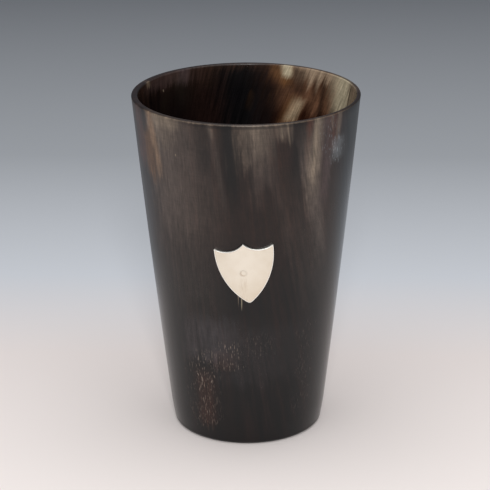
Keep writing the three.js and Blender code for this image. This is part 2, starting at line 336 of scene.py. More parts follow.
class HornSettings(bpy.types.PropertyGroup):
    """Colours of the horn."""

    # Black also paints shade: on the right side, at the lip and inside the mouth.
    black: shade("Black", "The tip end of the horn", "#020305")
    body: shade("Body", "The body of the horn", "#1b100d")
    dark: shade("Dark brown", "The body of the horn near the rim", "#2e2019")
    # Veil also paints, in part, a broad reflection down the left side.
    veil: shade("Veil", "Clouded grey-brown horn", "#4f4540")
    tan: shade("Tan", "Paler streaks outside", "#675b50")
    # Cream also paints the lip's highlight and the glint in a pit inside.
    cream: shade("Cream", "The palest streaks outside", "#8a7b6a")
    honey: shade("Honey", "Clear horn over dark", "#5f4228")
    haze: shade("Haze", "The low wall's faint bloom", "#524d50")
    sand: shade("Sand", "The long streak on the left", "#8c6f55")
    mauve: shade("Mauve", "Clouded horn at the right of the mouth", "#4a3c3c")
    rust: shade("Rust", "Red-brown edges of the streaks", "#45281e")
    # Clear and amber are partly the horn's colour and partly a painted glow of light through it.
    clear: shade("Clear", "The clearest horn, inside the rim", "#c6b99d")
    fawn: shade("Fawn", "Paler horn inside the rim", "#b09a82")
    umber: shade("Umber", "Clouded horn inside", "#6b4c39")
    russet: shade("Russet", "Dark horn inside", "#331c12")
    amber: shade("Amber", "Brown clear horn inside", "#704d30")
    pit: shade("Pit", "Small pits that catch the light", "#8b7c70")
    pale_blue: shade("Pale blue", "Bleached scuffs", "#848b90")
    end_grain: shade("End grain", "The cut face of the rim", "#1b0906")


class SilverSettings(bpy.types.PropertyGroup):
    """Colours of the silver."""

    bright: shade("Bright", "Rubbed silver", "#f6f0e2")
    tarnish: shade("Tarnish", "Thin yellow tarnish", "#cfb892")
    # Grime colours both the wiping lines below the pin and the painted shadow round its head.
    grime_and_shade: shade("Grime", "Old polish round the pin", "#a98a66")
    # Edge is partly rubbed silver and partly a painted highlight along the filed edge.
    edge: shade("Edge", "Worn bright", "#fffdf6")


class StageSettings(bpy.types.PropertyGroup):
    """Floor, light and camera."""

    near: shade("Near floor", "Before the beaker", "#eee6e3")
    middle: shade("Middle floor", "Beside the beaker", "#dcd4d2")
    behind: shade("Floor behind", "Just behind the beaker", "#c2c6cd")
    beyond: shade("Floor beyond", "Farther behind the beaker", "#969aa0")
    far: shade("Far floor", "Well behind the beaker", "#6a6e74")
    focal: bpy.props.FloatProperty(
        name="Focal length",
        description="In mm, on a 36 mm wide sensor",
        default=146.94,
        unit="CAMERA",
    )
    distance: length("Distance", "From the camera to what it aims at", 700.26 * MM)
    aim_height: length("Aim height", "Of the point aimed at", 64.474 * MM)
    aim_side: length("Aim side", "How far the point aimed at is to the right", -0.652 * MM)
    aim_back: length("Aim back", "How far the point aimed at is behind the axis", 0.06 * MM)
    elevation: angle("Elevation", "Of the camera", 20.3)
    azimuth: angle("Azimuth", "Of the camera, towards +X", 2.05)
    roll: angle("Roll", "Of the camera, clockwise", 0.368)


def outer_radius(z):
    """Radius of the outside of the wall at height z."""
    wall = bpy.context.scene.beaker_wall
    up = z / wall.height
    taper = wall.foot_radius + (wall.rim_radius - wall.foot_radius) * up
    tuck = wall.tuck_depth * max(0, 1 - z / wall.tuck_height) ** 2
    return taper + 4 * wall.swell * up * (1 - up) - tuck


def bore_radius(z):
    """Radius of the bore at height z."""
    wall = bpy.context.scene.beaker_wall
    up = z / wall.height
    low = wall.foot_radius - wall.wall_at_foot
    high = wall.rim_radius - wall.wall_at_rim
    return low + (high - low) * up + 4 * wall.swell * up * (1 - up)


def round_corner(r, z, radius, start, end, count):
    """Points of a round corner about (r, z), between two directions in degrees."""
    turns = np.radians(np.linspace(start, end, count + 1))
    return [(r + radius * math.cos(a), z + radius * math.sin(a)) for a in turns]


def tongue_profile(outset):
    """Edge of the base disc from its underside up, or of its groove, set out by a clearance."""
    base = bpy.context.scene.beaker_base
    top = base.underside + base.thickness
    middle = (base.underside + top) / 2
    tip = bore_radius(middle) + base.tongue
    return [
        (bore_radius(base.underside) + outset, base.underside),
        (tip + outset, middle - base.land / 2),
        (tip + outset, middle + base.land / 2),
        (bore_radius(top) + outset, top),
    ]


def turning_tree():
    """Geometry nodes that spin a profile, drawn in X and Z, once round the Z axis."""
    tree = bpy.data.node_groups.new("Turn profile", "GeometryNodeTree")
    face = tree.interface
    for name, kind, default in (
        ("Geometry", "NodeSocketGeometry", None),
        ("Segments", "NodeSocketInt", 96),
        ("Closed Profile", "NodeSocketBool", False),
        ("Height", "NodeSocketFloat", 1.0),
        ("Shift From", "NodeSocketFloat", 0.0),
        ("Bore Shift", "NodeSocketFloat", 0.0),
        ("Ripple", "NodeSocketFloat", 0.0),
        ("Ripple Width", "NodeSocketFloat", 14 * MM),
        ("Ripple Seed", "NodeSocketFloat", 3.0),
        ("Crisp Angle", "NodeSocketFloat", CRISP_ANGLE),
        ("Material", "NodeSocketMaterial", None),
    ):
        socket = face.new_socket(name, in_out="INPUT", socket_type=kind)
        if default is not None:
            socket.default_value = default
    face.new_socket("Geometry", in_out="OUTPUT", socket_type="NodeSocketGeometry")
    given = add(tree, "NodeGroupInput", out=None).outputs
    drawn = given["Geometry"]
    around = given["Segments"]

    # A grid with a row to each profile point, and the first again where the profile is closed.
    points = add(tree, GEOMETRY + "AttributeDomainSize", drawn, out="Point Count")
    rows = add(tree, MATH, points, given["Closed Profile"], operation="ADD")
    columns = add(tree, MATH, around, 1.0, operation="ADD")
    counts = {"Vertices X": rows, "Vertices Y": columns}
    grid = add(tree, GEOMETRY + "MeshGrid", inputs=counts, out="Mesh")

    # Each vertex takes the profile point of its row and the turn of its column.
    index = add(tree, GEOMETRY + "InputIndex")
    column = add(tree, MATH, index, columns, operation="MODULO")
    row = add(tree, MATH, add(tree, MATH, index, columns, operation="DIVIDE"), operation="FLOOR")
    point = add(tree, MATH, row, points, operation="MODULO")
    here = add(tree, GEOMETRY + "InputPosition")
    mark = add(tree, GEOMETRY + "InputNamedAttribute", "bore", data_type="FLOAT")
    place, in_bore = (
        add(
            tree,
            GEOMETRY + "SampleIndex",
            inputs={"Geometry": drawn, "Value": value, "Index": point},
            data_type=kind,
        )
        for value, kind in ((here, "FLOAT_VECTOR"), (mark, "FLOAT"))
    )
    profile = add(tree, "ShaderNodeSeparateXYZ", place, out=None).outputs
    share = add(tree, MATH, column, around, operation="DIVIDE")
    turn = add(tree, MATH, share, math.tau, math.pi / 2, operation="MULTIPLY_ADD")
    cosine = add(tree, MATH, turn, operation="COSINE")
    sine = add(tree, MATH, turn, operation="SINE")

    # Scraping leaves both sides a little uneven, always into the material.
    finer = add(tree, MATH, profile["X"], given["Ripple Width"], operation="DIVIDE")
    way = add(tree, "ShaderNodeCombineXYZ", cosine, sine, profile["Z"])
    uneven = add(
        tree,
        NOISE,
        inputs={"Vector": way, "W": given["Ripple Seed"], "Scale": finer, "Detail": 1.0},
        noise_dimensions="4D",
    )
    depth = add(tree, MATH, uneven, given["Ripple"], operation="MULTIPLY")
    side = add(tree, MATH, in_bore, 2.0, -1.0, operation="MULTIPLY_ADD")
    radius = add(tree, MATH, depth, side, profile["X"], operation="MULTIPLY_ADD")

    # The bore runs off centre in proportion to the height above the base disc.
    rise = (profile["Z"], given["Shift From"], given["Height"], 0.0, given["Bore Shift"])
    shift = add(tree, MATH, add(tree, RANGE, *rise), in_bore, operation="MULTIPLY")
    x = add(tree, MATH, radius, cosine, shift, operation="MULTIPLY_ADD")
    y = add(tree, MATH, radius, sine, operation="MULTIPLY")
    spot = add(tree, "ShaderNodeCombineXYZ", x, y, profile["Z"])
    spun = add(tree, GEOMETRY + "SetPosition", inputs={"Geometry": grid, "Position": spot})

    welded = add(
        tree, GEOMETRY + "MergeByDistance", inputs={"Geometry": spun, "Distance": MERGE_DISTANCE}
    )
    outward = add(tree, GEOMETRY + "FlipFaces", welded)
    smooth = add(tree, GEOMETRY + "SetShadeSmooth", outward)
    bend = add(tree, GEOMETRY + "InputMeshEdgeAngle", out="Unsigned Angle")
    sharp = add(tree, MATH, bend, given["Crisp Angle"], operation="GREATER_THAN")
    crisp = add(tree, GEOMETRY + "SetShadeSmooth", smooth, sharp, False, domain="EDGE")
    real = add(tree, GEOMETRY + "RealizeInstances", crisp)
    done = add(
        tree, GEOMETRY + "SetMaterial", inputs={"Geometry": real, "Material": given["Material"]}
    )
    add(tree, "NodeGroupOutput", done)
    return tree


def apply(piece, modifier):
    """Makes what a modifier gives into the piece's own mesh."""
    graph = bpy.context.evaluated_depsgraph_get()
    made = bpy.data.meshes.new_from_object(piece.evaluated_get(graph))
    piece.modifiers.remove(modifier)
    drawn = piece.data
    piece.data = made
    bpy.data.meshes.remove(drawn)
    made.name = piece.name


def turned(name, profile, material, sizes, in_bore=()):
    """A piece spun by the turning tree from (radius, height) points and the tree's other sizes."""
    drawing = bpy.data.meshes.new(name)
    edges = [(i, i + 1) for i in range(len(profile) - 1)]
    drawing.from_pydata([(r, 0, z) for r, z in profile], edges, [])
    if in_bore:
        mark = drawing.attributes.new("bore", "FLOAT", "POINT")
        mark.data.foreach_set("value", in_bore)
    piece = bpy.data.objects.new(name, drawing)
    bpy.context.scene.collection.objects.link(piece)

    tree = bpy.data.node_groups.get("Turn profile") or turning_tree()
    modifier = piece.modifiers.new("Turn", "NODES")
    modifier.node_group = tree
    values = {"Material": material} | sizes
    for socket in tree.interface.items_tree:
        if socket.in_out == "INPUT" and socket.name in values:
            modifier[socket.identifier] = values[socket.name]
    apply(piece, modifier)
    return piece


def seat(piece, node):
    """Seats a finished piece: it rides on the beaker and stands for a CAD node."""
    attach(piece, "root")
    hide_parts(node)


def new_material(name):
    """An empty material and its tree."""
    material = bpy.data.materials.new(name)
    material.use_nodes = True
    material.node_tree.nodes.clear()
    return material, material.node_tree


def streak_group():
    """Shader nodes that lay one soft streak, which follows the fibres, over a colour."""
    tree = bpy.data.node_groups.new("Streak", "ShaderNodeTree")
    face = tree.interface
    for name in ("Colour", "Stain"):
        face.new_socket(name, in_out="INPUT", socket_type="NodeSocketColor")
    for name in ("Around", "Up", "Fibre", *STREAK_TERMS):
        face.new_socket(name, in_out="INPUT", socket_type="NodeSocketFloat")
    face.new_socket("Colour", in_out="OUTPUT", socket_type="NodeSocketColor")
    face.new_socket("Amount", in_out="OUTPUT", socket_type="NodeSocketFloat")
    given = add(tree, "NodeGroupInput", out=None).outputs
    stray = add(tree, MATH, given["Fibre"], 0.5, operation="SUBTRACT")
    soft = {"interpolation_type": "SMOOTHSTEP"}

    # Across: it is full at 0.2 of its half width and gone at 1.8, and strays with the fibres.
    drop = add(tree, MATH, RIM_LEVEL, given["Up"], operation="SUBTRACT")
    middle = add(tree, MATH, drop, given["Lean"], given["Angle"], operation="MULTIPLY_ADD")
    aside = add(tree, MATH, given["Around"], middle, operation="SUBTRACT")
    sway = add(tree, MATH, stray, 2.0, operation="MULTIPLY")
    strayed = add(tree, MATH, sway, given["Half Width"], aside, operation="MULTIPLY_ADD")
    wrapped = add(tree, MATH, strayed, 180.0, -180.0, operation="WRAP")
    off = add(tree, MATH, wrapped, operation="ABSOLUTE")
    outer = add(tree, MATH, given["Half Width"], 1.8, operation="MULTIPLY")
    inner = add(tree, MATH, given["Half Width"], 0.2, operation="MULTIPLY")
    across = add(tree, RANGE, off, outer, inner, **soft)

    # Along: each fibre of it begins and ends at its own height, farther off where it fades slowly.
    least = add(tree, MATH, given["Fade"], 10.0, operation="MINIMUM")
    reach = add(tree, MATH, stray, 2.5, operation="MULTIPLY")
    level = add(tree, MATH, reach, least, given["Up"], operation="MULTIPLY_ADD")
    above = add(tree, MATH, given["Top"], given["Fade"], operation="ADD")
    below = add(tree, MATH, given["Bottom"], given["Fade"], operation="SUBTRACT")
    head = add(tree, RANGE, level, above, given["Top"], **soft)
    foot = add(tree, RANGE, level, below, given["Bottom"], **soft)
    along = add(tree, MATH, head, foot, operation="MULTIPLY")
    spread = add(tree, MATH, along, across, operation="MULTIPLY")
    amount = add(tree, MATH, spread, given["Strength"], operation="MULTIPLY")
    mix = {"Factor": amount, "A": given["Colour"], "B": given["Stain"]}
    laid = add(tree, MIX, inputs=mix, **OF_COLOURS)
    add(tree, "NodeGroupOutput", laid, amount)
    return tree


def horn_place(tree):
    """Sockets for degrees round from the shield, mm above the table and metres off the axis."""
    spot = add(tree, "ShaderNodeTexCoord", out="Object")
    parts = add(tree, "ShaderNodeSeparateXYZ", spot, out=None).outputs
    forward = add(tree, MATH, parts["Y"], -1.0, operation="MULTIPLY")
    turn = add(tree, MATH, parts["X"], forward, operation="ARCTAN2")
    around = add(tree, MATH, turn, operation="DEGREES")
    up = add(tree, MATH, parts["Z"], 1 / MM, operation="MULTIPLY")
    flat = add(tree, "ShaderNodeCombineXYZ", parts["X"], parts["Y"])
    reach = add(tree, VECTOR_MATH, flat, operation="LENGTH", out="Value")
    return around, up, reach


def fibre_noise(tree, around, up, across_mm, along_mm, detail):
    """Noise drawn out along the fibres, laid on a round so that it has no seam."""
    scale = MEAN_RADIUS / across_mm
    turn = add(tree, MATH, around, operation="RADIANS")
    cosine = add(tree, MATH, turn, operation="COSINE")
    sine = add(tree, MATH, turn, operation="SINE")
    squeezed = add(tree, MATH, up, 1 / (along_mm * scale), operation="MULTIPLY")
    way = add(tree, "ShaderNodeCombineXYZ", cosine, sine, squeezed)
    inputs = {"Vector": way, "Scale": scale, "Detail": detail, "Roughness": 0.6}
    return add(tree, NOISE, inputs=inputs)


def horn_material():
    """Ox horn, pressed, turned, scraped and rubbed with oil.

    Horn is layered keratin, so it is glossy but never sharp, with fine fibres along its length.
    It is near black at the tip end, which is the foot here, and clears to tan and cream streaks
    at the rim.
    """
    colours = bpy.context.scene.beaker_horn
    wall = bpy.context.scene.beaker_wall
    material, tree = new_material("ox_horn_oiled")
    around, up, reach = horn_place(tree)
    rim = wall.height / MM

    # Fibres run askew: a place's angle is carried up along them to the rim.
    off = add(tree, MATH, around, FIBRE_LEAN_FROM, operation="SUBTRACT")
    swing = add(tree, MATH, add(tree, MATH, off, operation="RADIANS"), operation="SINE")
    lean = add(tree, MATH, swing, FIBRE_LEAN_SWING, FIBRE_LEAN, operation="MULTIPLY_ADD")
    drop = add(tree, MATH, RIM_LEVEL, up, operation="SUBTRACT")
    slid = add(tree, MATH, lean, drop, operation="MULTIPLY")
    at_rim = add(tree, MATH, around, slid, operation="SUBTRACT")

    # Mm across and along the fibres. The finest are some 0.1 mm apart, and are drawn at 0.5 mm so
    # that they show. Scrapes run round the wall, as the tool did, and specks stand upright.
    clouds = fibre_noise(tree, at_rim, up, 7.0, 50.0, 3.0)
    mottle = fibre_noise(tree, at_rim, up, 3.0, 10.0, 3.0)
    fibres = fibre_noise(tree, at_rim, up, 1.2, 30.0, 4.0)
    hairs = fibre_noise(tree, at_rim, up, 0.5, 4.0, 2.0)
    scrapes = fibre_noise(tree, around, up, 5.0, 0.6, 1.0)
    specks = fibre_noise(tree, around, up, 0.42, 1.8, 1.0)
    uneven = add(tree, MATH, fibres, mottle, operation="ADD")
    ragged = add(tree, MATH, uneven, 0.5, operation="MULTIPLY")

    # Tone climbs from black at the foot through the body's red-brown to dark brown at the rim.
    cloudy = add(tree, RANGE, clouds, 0.3, 0.7, -4.0, 4.0)
    height = add(tree, MATH, up, cloudy, operation="ADD")
    share = add(tree, RANGE, height, 0.0, rim + 1)
    tones = (
        (0.50, colours.black),
        (0.68, colours.body),
        (0.92, colours.body),
        (1.00, colours.dark),
    )
    ground = add(tree, "ShaderNodeValToRGB", share, stops=tones)
    warm = add(tree, RANGE, fibres, 0.42, 0.75, 0.0, 0.14)
    mix = {"Factor": warm, "A": ground, "B": linear(colours.rust)}
    colour = add(tree, MIX, inputs=mix, **OF_COLOURS)

    # The figure, and over it the pits and scuffs, which are its streaks broken into dashes. The
    # pits' pale colour is painted glints.
    group = streak_group()
    dashes = add(tree, RANGE, specks, 0.61, 0.7)
    pits = 0.0
    for name, (stain, *terms) in (FIGURE | SCUFFS).items():
        if name in SCUFFS:
            terms[-1] = add(tree, MATH, dashes, terms[-1], operation="MULTIPLY")
        stain = linear(getattr(colours, stain))
        inputs = {"Colour": colour, "Stain": stain, "Around": around, "Up": up, "Fibre": ragged}
        inputs |= zip(STREAK_TERMS, terms)
        settings = {"node_tree": group, "label": name, "out": None}
        streak = add(tree, "ShaderNodeGroup", inputs=inputs, **settings).outputs
        colour = streak["Colour"]
        if name in SCUFFS:
            pits = add(tree, MATH, pits, streak["Amount"], operation="ADD")

    # The rim's cut face is end grain, which is darker.
    cut = add(tree, RANGE, up, rim - 0.25, rim - 0.05, 0.0, 0.85)
    mix = {"Factor": cut, "A": colour, "B": linear(colours.end_grain)}
    colour = add(tree, MIX, inputs=mix, **OF_COLOURS)

    # The fibres' own light and dark.
    grain = 1.0
    for noise, contrast in ((fibres, 0.16), (hairs, 0.26), (mottle, 0.28), (scrapes, 0.08)):
        share = add(tree, RANGE, noise, 0.3, 0.7, 1 - contrast, 1 + contrast)
        grain = add(tree, MATH, grain, share, operation="MULTIPLY")
    tint = add(tree, "ShaderNodeCombineColor", grain, grain, grain)
    mix = {"Factor": 1.0, "A": colour, "B": tint}
    grained = add(tree, MIX, inputs=mix, blend_type="MULTIPLY", **OF_COLOURS)

    # The outside is duller towards the mouth, from lower down on the left, and so is the lip.
    rubbed = add(tree, RANGE, fibres, 0.3, 0.7, 0.18, 0.26)
    askew = add(tree, MATH, around, -0.25, up, operation="MULTIPLY_ADD")
    worn = add(tree, RANGE, askew, 62.0, 86.0, 0.0, 0.15)
    lip = add(tree, RANGE, up, rim - 0.7, rim - 0.5)
    middle_at_foot = wall.foot_radius - wall.wall_at_foot / 2
    middle_at_rim = wall.rim_radius - wall.wall_at_rim / 2
    middle = add(tree, RANGE, up, 0.0, rim, middle_at_foot, middle_at_rim)
    outside = add(tree, MATH, reach, middle, operation="GREATER_THAN")
    dull = add(tree, MATH, outside, lip, operation="MAXIMUM")
    gloss = add(tree, MATH, worn, dull, rubbed, operation="MULTIPLY_ADD")

    # Fibres and scrapes stand out of the surface, and pits are sunk in it.
    fine = add(tree, MATH, hairs, 0.5, fibres, operation="MULTIPLY_ADD")
    scraped = add(tree, MATH, scrapes, 0.4, fine, operation="MULTIPLY_ADD")
    relief = add(tree, MATH, scraped, pits, operation="SUBTRACT")
    bump = add(tree, BUMP, inputs={"Strength": 0.25, "Distance": 0.05 * MM, "Height": relief})

    # Horn's IOR is about 1.54. At 1.41 it reflects as faintly at its edges as this oiled one.
    inputs = {"Base Color": grained, "Roughness": gloss, "IOR": 1.41, "Normal": bump}
    shader = add(tree, "ShaderNodeBsdfPrincipled", inputs=inputs)
    add(tree, "ShaderNodeOutputMaterial", shader)
    return material


def base_material():
    """A flat plate of ox horn turned on its face: near black, with faint tool rings."""
    colours = bpy.context.scene.beaker_horn
    material, tree = new_material("ox_horn_turned_plate")
    spot = add(tree, "ShaderNodeTexCoord", out="Object")

    # The plate's fibres lie across it, about 1.5 mm apart and 20 mm long.
    scale = (1 / (20 * MM), 1 / (1.5385 * MM), 1 / (20 * MM))
    along = add(tree, "ShaderNodeMapping", inputs={"Vector": spot, "Scale": scale})
    fibres = add(tree, NOISE, inputs={"Vector": along, "Scale": 1.0, "Detail": 4.0})
    paler = add(tree, RANGE, fibres, 0.45, 0.75, 0.0, 0.55)
    mix = {"Factor": paler, "A": linear(colours.body), "B": linear(colours.honey)}
    colour = add(tree, MIX, inputs=mix, **OF_COLOURS)

    # Tool rings every 0.9 mm: real ones are finer, but they would not show.
    ring_spacing = 0.9 * MM
    parts = add(tree, "ShaderNodeSeparateXYZ", spot, out=None).outputs
    flat = add(tree, "ShaderNodeCombineXYZ", parts["X"], parts["Y"])
    reach = add(tree, VECTOR_MATH, flat, operation="LENGTH", out="Value")
    turns = add(tree, MATH, reach, math.tau / ring_spacing, operation="MULTIPLY")
    rings = add(tree, MATH, turns, operation="SINE")
    relief = add(tree, MATH, rings, 0.5, fibres, operation="MULTIPLY_ADD")
    bump = add(tree, BUMP, inputs={"Strength": 0.4, "Distance": 0.06 * MM, "Height": relief})
    gloss = add(tree, RANGE, fibres, 0.3, 0.7, 0.38, 0.5)
    inputs = {"Base Color": colour, "Roughness": gloss, "IOR": 1.45, "Normal": bump}
    shader = add(tree, "ShaderNodeBsdfPrincipled", inputs=inputs)
    add(tree, "ShaderNodeOutputMaterial", shader)
    return material


def silver_material():
    """Sterling silver sheet, filed and rubbed by hand.

    Rubbing leaves it satin, with hair scratches, and bright along its filed edge, where the
    brightness is partly a painted highlight. A thin yellow tarnish lies towards the foot, and a
    painted shadow of the head lies in the lower side of the pin's joint.
    """
    colours = bpy.context.scene.beaker_silver
    pin = bpy.context.scene.beaker_pin
    material, tree = new_material("sterling_silver_rubbed")
    spot = add(tree, "ShaderNodeTexCoord", out="Object")

    # Rubbing scratches about 0.25 mm apart and 5 mm long, mostly up and down: real ones are
    # finer, but they would not show. Tarnish blooms are about 6 mm across.
    scale = (1 / (0.25 * MM), 1 / (0.25 * MM), 1 / (5 * MM))
    along = add(tree, "ShaderNodeMapping", inputs={"Vector": spot, "Scale": scale})
    hairs = add(tree, NOISE, inputs={"Vector": along, "Scale": 1.0, "Detail": 2.0})
    blooms = add(tree, NOISE, inputs={"Vector": spot, "Scale": 1 / (6.25 * MM), "Detail": 3.0})

    # Where a point is from the pin's centre, in mm.
    parts = add(tree, "ShaderNodeSeparateXYZ", spot, out=None).outputs
    side = add(tree, MATH, parts["X"], 1 / MM, operation="MULTIPLY")
    above = add(tree, MATH, parts["Z"], pin.height, operation="SUBTRACT")
    rise = add(tree, MATH, above, 1 / MM, operation="MULTIPLY")
    gap = add(tree, "ShaderNodeCombineXYZ", side, rise)
    reach = add(tree, VECTOR_MATH, gap, operation="LENGTH", out="Value")

    # Tarnish deepens to the lower right and in blooms. A dull line lies inside the bright edge.
    yellow = add(tree, MATH, side, rise, operation="SUBTRACT")
    lowered = add(tree, RANGE, yellow, 0.0, 14.0, 0.0, 0.16)
    patchy = add(tree, RANGE, blooms, 0.35, 0.75, 0.0, 0.2)
    haze = add(tree, MATH, lowered, patchy, operation="ADD")
    edge = add(tree, "ShaderNodeAttribute", attribute_name=EDGE, out="Fac")
    line = add(tree, RANGE, edge, 0.1, 0.35, 0.0, 0.4)
    dull = add(tree, MATH, haze, line, operation="ADD")
    # The bright edge is partly rubbed silver and partly a painted highlight along the bevel.
    worn = add(tree, RANGE, edge, 0.3, 0.5)

    # Painted shadow of the pin's head at the joint: a ring just inside the head's edge,
    # most of it on the lower left.
    slant = add(tree, MATH, side, rise, operation="ADD")
    low_left = add(tree, RANGE, slant, -0.9, 0.4, 1.0, 0.15)
    inner = add(tree, RANGE, reach, 0.45, 0.85)
    outer = add(tree, RANGE, reach, 0.9, 1.25, 1.0, 0.0)
    ring = add(tree, MATH, inner, outer, operation="MULTIPLY")
    crescent_shade = add(tree, MATH, ring, low_left, operation="MULTIPLY")
    joint = add(tree, MATH, crescent_shade, 0.45, operation="MULTIPLY")

    # Wiping has drawn a little old polish down below the pin, in lines, in the colour of that
    # shadow.
    lines = add(tree, RANGE, hairs, 0.45, 0.6, 0.0, 0.14)
    off = add(tree, MATH, side, operation="ABSOLUTE")
    beside = add(tree, RANGE, off, 0.9, 1.5, 1.0, 0.0)
    below = add(tree, RANGE, rise, -2.4, -1.4, 1.0, 0.0)
    under = add(tree, MATH, beside, below, operation="MULTIPLY")
    wipes_and_shade = add(tree, MATH, lines, under, joint, operation="MULTIPLY_ADD")

    colour = linear(colours.bright)
    for share, stain in ((dull, colours.tarnish), (worn, colours.edge), (wipes_and_shade, colours.grime_and_shade)):
        mix = {"Factor": share, "A": colour, "B": linear(stain)}
        colour = add(tree, MIX, inputs=mix, **OF_COLOURS)
    satin = add(tree, RANGE, blooms, 0.3, 0.7, 0.3, 0.42)
    gloss = add(tree, MATH, worn, 0.1, satin, operation="MULTIPLY_ADD")
    bump = add(tree, BUMP, inputs={"Strength": 0.2, "Distance": 0.02 * MM, "Height": hairs})
    inputs = {"Base Color": colour, "Metallic": 1.0, "Roughness": gloss, "Normal": bump}
    shader = add(tree, "ShaderNodeBsdfPrincipled", inputs=inputs)
    add(tree, "ShaderNodeOutputMaterial", shader)
    return material


def graded_floor():
    """Matt floor, graded from pale round the beaker to grey well behind it."""
    stage = bpy.context.scene.beaker_stage
    material, tree = new_material("graded_floor")
    spot = add(tree, "ShaderNodeTexCoord", out="Object")
    back = add(tree, "ShaderNodeSeparateXYZ", spot, out="Y")
    away = add(tree, VECTOR_MATH, spot, operation="LENGTH", out="Value")
    past = add(tree, MATH, away, PALE_REACH, operation="SUBTRACT")
    depth = add(tree, MATH, back, past, operation="MAXIMUM")
    share = add(tree, RANGE, depth, DARKENS_FROM, DARKENS_TO)
    tones = (
        (0.0, stage.near),
        (0.16, stage.middle),
        (0.28, stage.behind),
        (0.52, stage.beyond),
        (1.0, stage.far),
    )
    graded = add(tree, "ShaderNodeValToRGB", share, stops=tones)
    shader = add(tree, "ShaderNodeBsdfPrincipled", graded, inputs={"Roughness": 0.9})
    add(tree, "ShaderNodeOutputMaterial", shader)
    return material


def studio_world():
    """The room: the eye and the silver see a grey wall, and the rest is lit by pale light."""
    world = bpy.data.worlds.new("studio")
    world.use_nodes = True
    tree = world.node_tree
    tree.nodes.clear()
    ray = add(tree, "ShaderNodeLightPath", out=None).outputs
    glossy, clear = ray["Is Glossy Ray"], ray["Is Transmission Ray"]
    mirrored = add(tree, MATH, glossy, clear, operation="MAXIMUM")
    seen = add(tree, MATH, ray["Is Camera Ray"], mirrored, operation="MAXIMUM")
    fill = add(tree, "ShaderNodeBackground", (1, 1, 1, 1), 0.25)
    wall = add(tree, "ShaderNodeBackground", linear(bpy.context.scene.beaker_stage.far))
    add(tree, "ShaderNodeOutputWorld", add(tree, "ShaderNodeMixShader", seen, fill, wall))
    return world


def arc(start, end, bulge, spacing):
    """Points from start towards end on an arc that bulges to the right of the way by so much."""
    way = end - start
    half = np.hypot(*way) / 2
    radius = (half**2 + bulge**2) / (2 * bulge)
    left = np.array([-way[1], way[0]]) / (2 * half)
    centre = (start + end) / 2 + left * (radius - bulge)
    first = math.atan2(*(start - centre)[::-1])
    sweep = 2 * math.asin(half / abs(radius)) * math.copysign(1, bulge)
    count = int(abs(radius * sweep) / spacing)
    turns = first + sweep * np.arange(count) / count
    return centre + abs(radius) * np.stack([np.cos(turns), np.sin(turns)], 1)


def averaged(points, spread, spacing):
    """A closed line's points, each the average of those about it."""
    reach = int(4 * spread / spacing)
    offsets = np.arange(-reach, reach + 1)
    weights = np.exp(-0.5 * (offsets * spacing / spread) ** 2)
    weights /= weights.sum()
    return sum(weight * np.roll(points, by, 0) for weight, by in zip(weights, offsets))


def shield_outline(count):
    """Outline of the shield, flat and upright about its centre line, and its outward normals.

    The corners are worn round. Points lie closer where it turns.
    """
    shield = bpy.context.scene.beaker_shield
    spacing = 0.02 * MM
    half = shield.width / 2
    corners = np.array(
        [
            (0, -shield.tip_drop),
            (half, shield.corner_rise),
            (0, shield.peak_rise),
            (-half, shield.corner_rise),
        ]
    )
    bulges = (shield.side_bulge, -shield.top_hollow, -shield.top_hollow, shield.side_bulge)
    ends = np.roll(corners, -1, 0)
    sharp = np.concatenate([arc(*way, spacing) for way in zip(corners, ends, bulges)])

    # Wear is the average of the edge's points over a short way, and a longer one at the tip.
    from_tip = np.hypot(*(sharp - corners[0]).T) / (2.5 * shield.tip_wear)
    blunt = np.exp(-0.5 * from_tip**2)[:, None]
    worn = averaged(sharp, shield.tip_wear, spacing) * blunt
    worn += averaged(sharp, shield.corner_wear, spacing) * (1 - blunt)

    # Points are shared out by way and by turn, where 12 degrees count for as much as 0.8 mm.
    steps = np.roll(worn, -1, 0) - worn
    runs = np.hypot(*steps.T)
    way = np.unwrap(np.arctan2(steps[:, 1], steps[:, 0]))
    bends = np.abs(np.diff(way, append=way[0] + math.tau))
    measure = np.concatenate([[0], np.cumsum(runs / (0.8 * MM) + bends / math.radians(12))])
    picks = np.linspace(0, measure[-1], count, endpoint=False)
    closed = np.concatenate([worn, worn[:1]])
    points = np.stack([np.interp(picks, measure, closed[:, i]) for i in (0, 1)], 1)
    along = np.roll(points, -1, 0) - np.roll(points, 1, 0)
    along /= np.hypot(*along.T)[:, None]
    return points, np.stack([along[:, 1], -along[:, 0]], 1)


def pin_slope():
    """How far the wall leans out at the pin."""
    pin = bpy.context.scene.beaker_pin
    return math.atan((outer_radius(pin.height + MM / 2) - outer_radius(pin.height - MM / 2)) / MM)


def bend_on_wall(across, up, out):
    """Carries a flat point, measured from the pin, on to the outside of the wall."""
    slope = pin_slope()
    z = bpy.context.scene.beaker_pin.height + up * math.cos(slope)
    turn = across / outer_radius(z)
    r = outer_radius(z) + out * math.cos(slope)
    return (r * math.sin(turn), -r * math.cos(turn), z - out * math.sin(slope))


